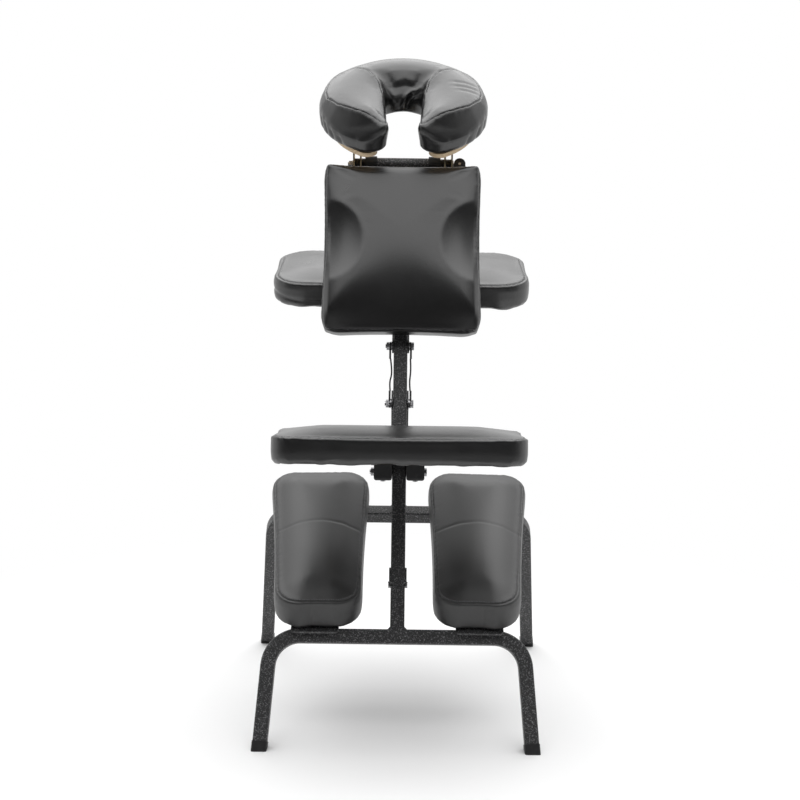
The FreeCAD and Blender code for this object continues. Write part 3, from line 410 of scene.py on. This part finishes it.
def own_frame(node, tilt, toe=0.0):
    """Frame of a pad at the middle of its underside, with its thickness along Z, and the pad's size."""
    turn = Matrix.Rotation(math.radians(tilt), 4, "X") @ Matrix.Rotation(math.radians(toe), 4, "Z")
    spots = [turn.inverted() @ vertex.co for vertex in nodes[node].data.vertices]
    low = Vector([min(spot[axis] for spot in spots) for axis in range(3)])
    high = Vector([max(spot[axis] for spot in spots) for axis in range(3)])
    middle = Vector(((low.x + high.x) / 2, (low.y + high.y) / 2, low.z))
    return turn @ Matrix.Translation(middle), high - low


def foam_blank(node, name, home):
    """Even mesh of a pad's foam in the pad's own frame, from its solid."""
    piece = bpy.data.objects.new(name, nodes[node].data.copy())
    bpy.context.scene.collection.objects.link(piece)
    piece.data.materials.clear()
    piece.data.transform(home.inverted())
    bpy.ops.object.select_all(action="DESELECT")
    piece.select_set(True)
    bpy.context.view_layer.objects.active = piece
    bpy.ops.object.mode_set(mode="EDIT")
    bpy.ops.mesh.select_all(action="SELECT")
    bpy.ops.mesh.remove_doubles(threshold=WELD)
    bpy.ops.object.mode_set(mode="OBJECT")
    piece.data.remesh_voxel_size = VOXEL
    bpy.ops.object.voxel_remesh()
    return piece


def skin_of(piece):
    """Search tree of a piece's surface."""
    mesh = piece.data
    return BVHTree.FromPolygons([vertex.co.copy() for vertex in mesh.vertices],
                                [tuple(polygon.vertices) for polygon in mesh.polygons])


def sampled(corners, closed):
    """Points every couple of millimetres along a line of corners."""
    corners = list(corners) + ([corners[0]] if closed else [])
    points = []
    for start, end in zip(corners, corners[1:]):
        steps = max(1, round((end - start).length / SEAM_STEP))
        points += [start.lerp(end, step / steps) for step in range(steps)]
    return points + ([] if closed else [corners[-1]])


def snapped(skin, corners, closed=False):
    """Line of corners brought onto the nearest surface."""
    return [skin.find_nearest(point)[0] for point in sampled(corners, closed)]


def round_plan(near, far, length, corner, inset, level):
    """Corners of a pad's outline with round corners, drawn in by an inset, at one height."""
    turns = []
    half = length / 2 - inset
    for quarter, (side_x, side_y) in enumerate(((1, 1), (-1, 1), (-1, -1), (1, -1))):
        for step in range(90 // ARC_STEP + 1):
            angle = math.radians(90 * quarter + ARC_STEP * step)
            radius = max(corner - inset, LEAST_CORNER)
            y = side_y * (half - radius) + radius * math.sin(angle)
            width = near + (far - near) * (y / length + 0.5)
            x = side_x * (width / 2 - inset - radius) + radius * math.cos(angle)
            turns.append(Vector((x, y, level)))
    return turns


def search(points):
    """Search tree of points."""
    tree = kdtree.KDTree(len(points))
    for index, point in enumerate(points):
        tree.insert(point, index)
    tree.balance()
    return tree


def squared(out, up, share):
    """Point of a round edge, given from the middle of its arc, drawn out towards a sharp edge."""
    if min(out, up) <= 0:
        return out, up
    grow = 1 + share * (math.hypot(out, up) / max(out, up) - 1)
    return out * grow, up * grow


def crisp(piece, size, corner, top, share):
    """Draws the round upper edge of a pad's wall out towards a sharp one, as a sewn edge has it."""
    for vertex in piece.data.vertices:
        x, y, z = vertex.co
        over = Vector((max(abs(x) - size.x / 2 + corner, 0.0), max(abs(y) - size.y / 2 + corner, 0.0), 0.0))
        outward = over.length - corner + EDGE_ROLL
        drawn, raised = squared(outward, z - top + EDGE_ROLL, share)
        if drawn != outward:
            over.normalize()
            way = Vector((math.copysign(over.x, x), math.copysign(over.y, y), 0.0))
            vertex.co += way * (drawn - outward)
            vertex.co.z = raised + top - EDGE_ROLL


def swell(piece, seams, cap, held=BOARD_HELD, still=()):
    """Swells a pad by air under its cover. The board's edge, the seams and the points in still are held."""
    tree = search([point for seam in seams for point in seam])
    group = piece.vertex_groups.new(name="held")
    rest = [vertex.co.copy() for vertex in piece.data.vertices]
    tied = [index for index, spot in enumerate(rest) if spot.z < held or tree.find(spot)[2] < VOXEL]
    group.add(tied + list(still), 1.0, "REPLACE")
    cloth = piece.modifiers.new("cover", "CLOTH")
    cloth.settings.quality = 4
    cloth.settings.vertex_group_mass = "held"
    cloth.settings.use_pressure = True
    cloth.settings.uniform_pressure_force = PRESSURE
    cloth.settings.effector_weights.gravity = 0.0
    for step in range(SWELL_FRAMES):
        bpy.context.scene.frame_set(step + 1)
    bpy.ops.object.modifier_apply(modifier=cloth.name)
    bpy.context.scene.frame_set(1)
    for vertex, spot in zip(piece.data.vertices, rest):
        move = vertex.co - spot
        if move.length > cap:
            vertex.co = spot + move * (cap / move.length)
    piece.vertex_groups.clear()


def refine(piece):
    """One level of subdivision, applied."""
    finer = piece.modifiers.new("finer", "SUBSURF")
    finer.levels = finer.render_levels = 1
    bpy.ops.object.modifier_apply(modifier=finer.name)


def sew(piece, seams, ridge, seed):
    """Pulls the seams in between two soft rolls and notes for the cover where each seam runs."""
    points, outwards, ways = [], [], []
    way = 0.0
    for seam in seams:
        centre = sum(seam, Vector()) / len(seam)
        for point in seam:
            points.append(point)
            outward = Vector((point.x - centre.x, point.y - centre.y, 0.0)).normalized()
            outwards.append(outward - WALL_BELOW)
            ways.append(way)
            way += SEAM_STEP
    tree = search(points)
    mesh = piece.data
    normals = [vertex.normal.copy() for vertex in mesh.vertices]
    across = mesh.attributes.new("seam", "FLOAT", "POINT")
    along = mesh.attributes.new("along", "FLOAT", "POINT")
    for index, vertex in enumerate(mesh.vertices):
        near, found, away = tree.find(vertex.co)
        side = 1.0 if (vertex.co - near).dot(outwards[found]) > 0 else -1.0
        across.data[index].value = side * min(away, SEAM_REACH)
        along.data[index].value = ways[found]
        if away < SEAM_REACH:
            pucker = noise.noise(Vector((ways[found] * PUCKER_RATE, seed, side)))
            lift = ridge * math.exp(-(away / SEAM_ROLL) ** 2)
            lift += PUCKER * pucker * math.exp(-(away / PUCKER_REACH) ** 2)
            lift -= SEAM_SINK * math.exp(-(away / SEAM_GROOVE) ** 2)
            vertex.co += normals[index] * lift


def staple_edge(piece, size, depth, seed):
    """Makes the stapled lower edge of a wall wavy."""
    for vertex in piece.data.vertices:
        rim = min(size.x / 2 - abs(vertex.co.x), size.y / 2 - abs(vertex.co.y))
        if vertex.co.z < STAPLED and rim < STAPLED:
            wave = noise.noise(Vector((vertex.co.x * STAPLE_RATE, vertex.co.y * STAPLE_RATE, seed)))
            vertex.co.z += depth * wave * (1 - vertex.co.z / STAPLED)


def finish_pad(piece, home, node, body, cover=black_leather):
    """Sets a pad in its place on the chair, covers it and ties it to its body."""
    piece.data.transform(home)
    piece.data.shade_smooth()
    piece.data.materials.append(cover)
    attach(piece, body)
    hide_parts(node)


home, size = own_frame("seat_pad", SEAT_ANGLE)
seat = foam_blank("seat_pad", "seat_cushion", home)
crisp(seat, size, SEAT_CORNER, SEAT_SEAM, SEAT_CRISP)
rim = round_plan(size.x, size.x, size.y, SEAT_CORNER, SEAT_SEAM_INSET, SEAT_SEAM)
seat_seam = snapped(skin_of(seat), rim, closed=True)
swell(seat, [seat_seam], SEAT_SWELL)
refine(seat)
sew(seat, [seat_seam], SEAM_RIDGE, seed=1.0)
staple_edge(seat, size, STAPLE_WAVE, seed=3.0)
finish_pad(seat, home, "seat_pad", "frame")

# Knee pads: long foam pads, wider at the front, on boards that lie across both bars. The cover is sewn like
# the seat's; the knees have pressed a hollow into the lower end and a fine crease across the middle.
KNEE_TOE = 1.8
KNEE_NEAR = 0.152
KNEE_FAR = 0.191
KNEE_CORNER = 0.046
KNEE_SHAPED = 0.03  # height from which the foam is shaped
KNEE_DOME = 0.005
KNEE_HOLLOW = 0.004
KNEE_HOLLOW_INWARDS = 0.02
KNEE_HOLLOW_DOWN = 0.15
KNEE_HOLLOW_WIDE = 0.07
KNEE_HOLLOW_LONG = 0.045
KNEE_SEAM = 0.060
KNEE_SEAM_INSET = 0.0065
KNEE_SEAM_RIDGE = 0.0015
KNEE_SWELL = 0.006
KNEE_CREASE = [(-0.078, 0.008), (-0.035, 0.016), (0.005, 0.019), (0.045, 0.015), (0.080, 0.006)]
KNEE_CREASE_DEPTH, KNEE_CREASE_WIDTH = 0.0010, 0.003
KNEE_PLEAT = [(0.012, 0.004, 0.05), (0.013, 0.0, 0.03), (0.012, 0.003, 0.006)]
KNEE_PLEAT_DEPTH, KNEE_PLEAT_WIDTH = 0.0012, 0.0022
RUBBED_ROUGHNESS = 0.38
ABOVE_PAD = 1.0
CREASE_REACH = 3  # in widths of the crease
CREASE_FADE = 2  # in widths of the crease
CREASE_END = 0.15  # share of the depth at a crease's end


def top_at(skin, spot):
    """Point on top of a pad, straight above or below a spot, or None beside the pad."""
    return skin.ray_cast(Vector((spot.x, spot.y, ABOVE_PAD)), Vector((0.0, 0.0, -1.0)))[0]


def dropped(skin, corners, closed=False):
    """Line of plan corners brought down onto the top of a pad."""
    tops = [top_at(skin, spot) for spot in sampled([Vector((x, y, 0.0)) for x, y in corners], closed)]
    return [top for top in tops if top]


def press(piece, lines):
    """Presses creases into a pad. Each line comes with its depth (minus lifts it) and its width."""
    normals = [vertex.normal.copy() for vertex in piece.data.vertices]
    for line, depth, width in lines:
        tree = search(line)
        ends = (line[0], line[-1])
        for vertex, normal in zip(piece.data.vertices, normals):
            away = tree.find(vertex.co)[2]
            if away < CREASE_REACH * width:
                to_end = min((vertex.co - end).length for end in ends)
                taper = min(1.0, to_end / (CREASE_FADE * width) + CREASE_END)
                vertex.co -= normal * depth * taper * math.exp(-(away / width) ** 2)


rubbed_leather = coated_fabric("rubbed_leather", RUBBED_ROUGHNESS)
for side, name in ((-1, "left"), (1, "right")):
    node = name + "_knee_pad"
    home, size = own_frame(node, KNEE_ANGLE, -side * KNEE_TOE)
    pad = foam_blank(node, name + "_knee_cushion", home)
    for vertex in pad.data.vertices:
        half = (KNEE_NEAR + (KNEE_FAR - KNEE_NEAR) * (vertex.co.y / size.y + 0.5)) / 2
        across = (vertex.co.x + side * KNEE_HOLLOW_INWARDS) / KNEE_HOLLOW_WIDE
        down = (vertex.co.y + KNEE_HOLLOW_DOWN) / KNEE_HOLLOW_LONG
        if vertex.co.z > KNEE_SHAPED:
            dome = KNEE_DOME * (1 - (vertex.co.x / half) ** 2)
            vertex.co.z += dome - KNEE_HOLLOW * math.exp(-(across ** 2 + down ** 2))
    rim = round_plan(KNEE_NEAR, KNEE_FAR, size.y, KNEE_CORNER, KNEE_SEAM_INSET, KNEE_SEAM)
    knee_seam = snapped(skin_of(pad), rim, closed=True)
    swell(pad, [knee_seam], KNEE_SWELL)
    refine(pad)
    skin = skin_of(pad)
    near = -size.y / 2
    pleat = snapped(skin, [Vector((side * x, near + y, z)) for x, y, z in KNEE_PLEAT])
    press(pad, [(dropped(skin, KNEE_CREASE), KNEE_CREASE_DEPTH, KNEE_CREASE_WIDTH),
                (pleat, KNEE_PLEAT_DEPTH, KNEE_PLEAT_WIDTH)])
    sew(pad, [knee_seam], KNEE_SEAM_RIDGE, seed=5.0 + side)
    staple_edge(pad, size, STAPLE_WAVE, seed=7.0 + side)
    finish_pad(pad, home, node, "front_leg", cover=rubbed_leather)

# Chest pad: a thick foam pad on a board that the post's bracket carries, under one stretched panel. The foam
# is hollowed at both sides, so ridges run to the lower corners and the upper corners stand out as points.
CHEST_RIDGE = 0.062
CHEST_TOP = 0.048
CHEST_TOP_CURVE = 1.5
CHEST_FOOT = 0.040
CHEST_FOOT_CURVE = 1.8
RIDGE_MIDDLE = -0.025
RIDGE_ARCH = 0.112
SIDE_FALL = 0.012
SIDE_WIDE = 0.045
CHEST_SHAPED = 0.03  # least height of foam that is shaped
CHEST_RIM = 0.012
CHEST_HOLLOW = 0.013
CHEST_HOLLOW_INSET = 0.004
CHEST_HOLLOW_UP = 0.008
CHEST_HOLLOW_WIDE = 0.072
CHEST_HOLLOW_LONG = 0.078
CHEST_HOLLOW_STILL = 1.3  # the cover stays still up to here from a hollow
CHEST_CORNER = 0.016
CHEST_SQUARED = 0.9
TOP_DIP = 0.005
TOP_DIP_POWER = 6
EAR_OUT, EAR_UP = 0.007, 0.011
EAR_INSET = 0.003
EAR_REACH = 0.017
LOWER_EAR = 0.5
CHEST_SEAM = 0.040
CHEST_SEAM_CORNER = 0.004
CHEST_SEAM_INSET = 0.002
CHEST_SWELL = 0.0015
CHEST_WAVE = 0.002

home, size = own_frame("chest_pad", CHEST_ANGLE)
chest = foam_blank("chest_pad", "chest_cushion", home)
half_x, half_y = size.x / 2, size.y / 2
skin = skin_of(chest)


def from_hollow(x, y):
    """How far a place is from the middle of the hollow on its side, squared, 1 being the hollow's rim."""
    across = (half_x - CHEST_HOLLOW_INSET - abs(x)) / CHEST_HOLLOW_WIDE
    up = (y - CHEST_HOLLOW_UP) / CHEST_HOLLOW_LONG
    return across ** 2 + up ** 2


def chest_height(x, y):
    """Height of the foam: a ridge that arches down to the lower corners, and a hollow at each side."""
    ridge = RIDGE_MIDDLE - RIDGE_ARCH * (x / half_x) ** 2
    if y > ridge:
        share = (y - ridge) / (half_y - ridge)
        height = CHEST_RIDGE + (CHEST_TOP - CHEST_RIDGE) * share ** CHEST_TOP_CURVE
    else:
        share = (ridge - y) / (ridge + half_y)
        height = CHEST_RIDGE + (CHEST_FOOT - CHEST_RIDGE) * share ** CHEST_FOOT_CURVE
    edge = min(1.0, (half_x - abs(x)) / SIDE_WIDE)
    height -= SIDE_FALL * (1 - edge) ** 2
    return height - CHEST_HOLLOW * max(0.0, 1 - from_hollow(x, y))


for vertex in chest.data.vertices:
    top = top_at(skin, vertex.co)
    if top and vertex.co.z > STAPLED and top.z > CHEST_SHAPED:
        from_edge = min(half_x - abs(vertex.co.x), half_y - abs(vertex.co.y))
        share = min(1.0, (vertex.co.z - STAPLED) / (top.z - STAPLED))
        share *= min(1.0, max(0.0, from_edge / CHEST_RIM))
        vertex.co.z += share * (chest_height(vertex.co.x, vertex.co.y) - top.z)
    over_x = abs(vertex.co.x) - half_x + CHEST_CORNER
    over_y = abs(vertex.co.y) - half_y + CHEST_CORNER
    drawn_x, drawn_y = squared(over_x, over_y, CHEST_SQUARED)
    vertex.co.x += math.copysign(drawn_x - over_x, vertex.co.x)
    vertex.co.y += math.copysign(drawn_y - over_y, vertex.co.y)
    if vertex.co.y > 0:
        dip = TOP_DIP * (1 - min(1.0, abs(vertex.co.x) / half_x) ** TOP_DIP_POWER)
        vertex.co.y -= dip * (vertex.co.y / half_y) ** TOP_DIP_POWER
    ear = (abs(vertex.co.x) - half_x + EAR_INSET) ** 2 + (abs(vertex.co.y) - half_y + EAR_INSET) ** 2
    ear = math.exp(-ear / EAR_REACH ** 2) * (1.0 if vertex.co.y > 0 else LOWER_EAR)
    vertex.co += ear * Vector((math.copysign(EAR_OUT, vertex.co.x), math.copysign(EAR_UP, vertex.co.y), 0.0))
rim = round_plan(size.x, size.x, size.y, CHEST_SEAM_CORNER, CHEST_SEAM_INSET, CHEST_SEAM)
chest_seam = snapped(skin_of(chest), rim, closed=True)
hollows = [vertex.index for vertex in chest.data.vertices
           if from_hollow(vertex.co.x, vertex.co.y) < CHEST_HOLLOW_STILL]
swell(chest, [chest_seam], CHEST_SWELL, still=hollows)
refine(chest)
sew(chest, [chest_seam], SEAM_RIDGE, seed=11.0)
staple_edge(chest, size, CHEST_WAVE, seed=12.0)
finish_pad(chest, home, "chest_pad", "frame")

# Armrest pad: a wide foam pad with round ends on a board that the two arms carry. The cover's wall has one
# long fold low on the left, and its stapled edge shows as small waves.
ARMREST_CORNER = 0.062
ARMREST_TAPER = 0.16
ARMREST_SEAM = 0.050
ARMREST_SEAM_INSET = 0.005
ARMREST_SEAM_FAR = 0.96
ARMREST_CRISP = 0.3
ARMREST_SWELL = 0.003
ARMREST_WAVE = 0.003
LOW_FOLD_DEPTH, LOW_FOLD_WIDTH = 0.0022, 0.004

home, size = own_frame("armrest_pad", ARMREST_ANGLE)
armrest = foam_blank("armrest_pad", "armrest_cushion", home)
for vertex in armrest.data.vertices:
    vertex.co.x *= 1 - ARMREST_TAPER * max(0.0, vertex.co.y / size.y) ** 2
crisp(armrest, size, ARMREST_CORNER, ARMREST_SEAM, ARMREST_CRISP)
rim = round_plan(size.x, size.x * ARMREST_SEAM_FAR, size.y, ARMREST_CORNER, ARMREST_SEAM_INSET, ARMREST_SEAM)
armrest_seam = snapped(skin_of(armrest), rim, closed=True)
swell(armrest, [armrest_seam], ARMREST_SWELL)
refine(armrest)
near = -size.y / 2
low_fold = snapped(skin_of(armrest), [Vector((-0.25, -0.03, 0.026)), Vector((-0.225, near + 0.03, 0.02)),
                                      Vector((-0.19, near, 0.014)), Vector((-0.12, near, 0.010))])
press(armrest, [(low_fold, LOW_FOLD_DEPTH, LOW_FOLD_WIDTH)])
sew(armrest, [armrest_seam], SEAM_RIDGE, seed=15.0)
staple_edge(armrest, size, ARMREST_WAVE, seed=16.0)
finish_pad(armrest, home, "armrest_pad", "armrest")

# Head cushion: a horseshoe of soft foam that hook tape holds on the plywood platform. Its cover is sewn from
# a back panel, a leaf-shaped top panel on each lobe and a wall that is gathered under the edge.
LEAF = [(0.121, 0.071), (0.094, 0.072), (0.068, 0.055), (0.047, 0.025), (0.038, -0.012), (0.034, -0.06),
        (0.032, -0.100), (0.031, -0.130), (0.040, -0.131), (0.056, -0.120), (0.090, -0.099), (0.123, -0.0725),
        (0.143, -0.039), (0.147, -0.010), (0.1425, 0.023), (0.133, 0.052)]
LOBE_FOOT = 0.02
LOBE_FALL = 0.75  # share of its height that a lobe loses outside its leaf
LOBE_FALL_REACH = 0.03
LOBE_BACK = 0.06
LOBE_BACK_FADE = 0.04
TIP = Vector((0.034, -0.132, 0.045))
TIP_REACH = 0.02
TIP_INWARDS, TIP_NEARER, TIP_UP = -0.005, -0.009, 0.003
BACK_WALL = 0.045  # height of the inner wall, which leans out towards its foot
BACK_WALL_HALF = 0.05
BACK_WALL_FADE = 0.03
BACK_WALL_LEAN = 0.013
HEAD_HELD = 0.006
HEAD_SWELL = 0.009
HEAD_SEAM_RIDGE = 0.0008
FOLD_WIDTH = 0.0045
# Folds, each with its route in millimetres and its depth: three on the inner wall, three on the top of the
# right lobe, then four on the left outer wall and three on the right one.
FOLDS = [
    ([(-30, 22, 56), (-24, 20, 38), (-20, 16, 16)], 0.0025),
    ([(30, 20, 56), (16, 25, 34), (4, 22, 8)], 0.005),
    ([(20, 26, 56), (7, 27, 34), (-5, 22, 8)], -0.003),
    ([(90, 12, 70), (120, 10, 70), (142, 8, 66)], 0.0014),
    ([(92, -6, 70), (120, -8, 70), (145, -8, 64)], 0.0014),
    ([(100, -22, 70), (140, -26, 62)], 0.0012),
    ([(-150, -50, 32), (-138, -58, 2)], 0.0025),
    ([(-143, -70, 30), (-130, -78, 2)], 0.0025),
    ([(-133, -88, 26), (-118, -95, 2)], 0.0025),
    ([(-118, -106, 22), (-104, -112, 2)], 0.002),
    ([(150, -54, 30), (138, -60, 2)], 0.0025),
    ([(140, -78, 28), (126, -85, 2)], 0.0025),
    ([(122, -102, 24), (110, -108, 2)], 0.002),
]


def outside_leaf(x, y):
    """How far a point in plan lies outside the leaf of its side, or 0 on the leaf."""
    x = abs(x)
    crossings = 0
    least = 1.0
    for (x0, y0), (x1, y1) in zip(LEAF, LEAF[1:] + LEAF[:1]):
        if (y0 > y) != (y1 > y) and x < x0 + (x1 - x0) * (y - y0) / (y1 - y0):
            crossings += 1
        share = ((x - x0) * (x1 - x0) + (y - y0) * (y1 - y0)) / ((x1 - x0) ** 2 + (y1 - y0) ** 2)
        share = min(1.0, max(0.0, share))
        least = min(least, math.hypot(x0 + (x1 - x0) * share - x, y0 + (y1 - y0) * share - y))
    return 0.0 if crossings % 2 else least


home = own_frame("head_cushion", HEAD_ANGLE)[0]
head = foam_blank("head_cushion", "face_cushion", home)
for vertex in head.data.vertices:
    spot = vertex.co
    if spot.z > LOBE_FOOT:
        front = min(1.0, max(0.0, (LOBE_BACK - spot.y) / LOBE_BACK_FADE))
        fall = min(1.0, outside_leaf(spot.x, spot.y) / LOBE_FALL_REACH) * LOBE_FALL * front
        spot.z = LOBE_FOOT + (spot.z - LOBE_FOOT) * (1 - fall)
    side = math.copysign(1.0, spot.x)
    near_tip = math.exp(-((Vector((abs(spot.x), spot.y, spot.z)) - TIP).length / TIP_REACH) ** 2)
    vertex.co = spot + near_tip * Vector((TIP_INWARDS * side, TIP_NEARER, TIP_UP))
    if 0 < spot.y < LOBE_BACK and spot.z < BACK_WALL:
        back_wall = max(0.0, 1 - (spot.x / BACK_WALL_HALF) ** 4)
        back_wall *= min(1.0, max(0.0, (LOBE_BACK - spot.y) / BACK_WALL_FADE))
        vertex.co.y -= BACK_WALL_LEAN * back_wall * (1 - spot.z / BACK_WALL)
skin = skin_of(head)
leaves = [dropped(skin, [(side * x, y) for x, y in LEAF], closed=True) for side in (-1, 1)]
swell(head, leaves, HEAD_SWELL, HEAD_HELD)
refine(head)
skin = skin_of(head)
folds = []
for route, depth in FOLDS:
    folds.append((snapped(skin, [Vector(point) / 1000 for point in route]), depth, FOLD_WIDTH))
press(head, folds)
sew(head, leaves, HEAD_SEAM_RIDGE, seed=21.0)
finish_pad(head, home, "head_cushion", "face_rest")
